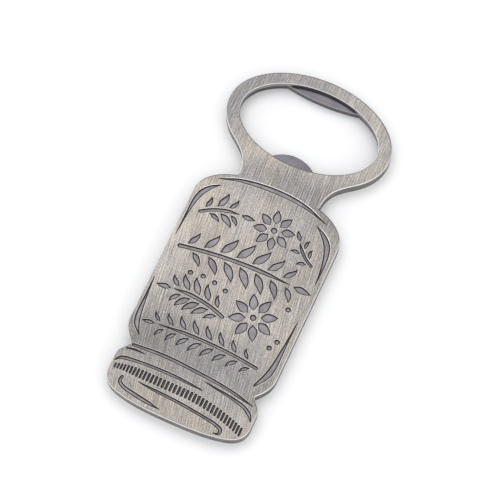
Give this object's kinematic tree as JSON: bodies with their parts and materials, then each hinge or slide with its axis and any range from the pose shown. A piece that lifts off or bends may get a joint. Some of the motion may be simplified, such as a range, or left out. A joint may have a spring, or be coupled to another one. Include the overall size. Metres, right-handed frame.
{
  "type": "bottle opener",
  "caption": "Flat souvenir bottle opener shaped like a lidded glass jar, with an oval cap ring, a steel opener insert in its back and an engraved leaf and flower front.",
  "frame": {"origin": "middle of the opener's box on its flat back face, the plane that it rests on", "axes": "+Z out of the engraved front face, +Y from the jar's lid towards the oval cap ring, +X to the right seen from the front with the ring at the top"},
  "size_m": [0.0456, 0.1006, 0.0038],
  "materials": {
    "antique_zinc": "zinc alloy casting, antique plated, raised faces brushed lengthways to a warm grey, engraving left dark and matt",
    "plain_steel": "stamped steel, smooth, unbrushed, blue-grey to purple-grey",
    "rivet_steel": "plain steel, smooth, low domed heads"
  },
  "bodies": {
    "root": {"cast_body": "antique_zinc", "opener_insert": "plain_steel", "rivet_neck_left": "rivet_steel", "rivet_neck_right": "rivet_steel", "rivet_far_left": "rivet_steel", "rivet_far_right": "rivet_steel"}
  },
  "joints": []
}
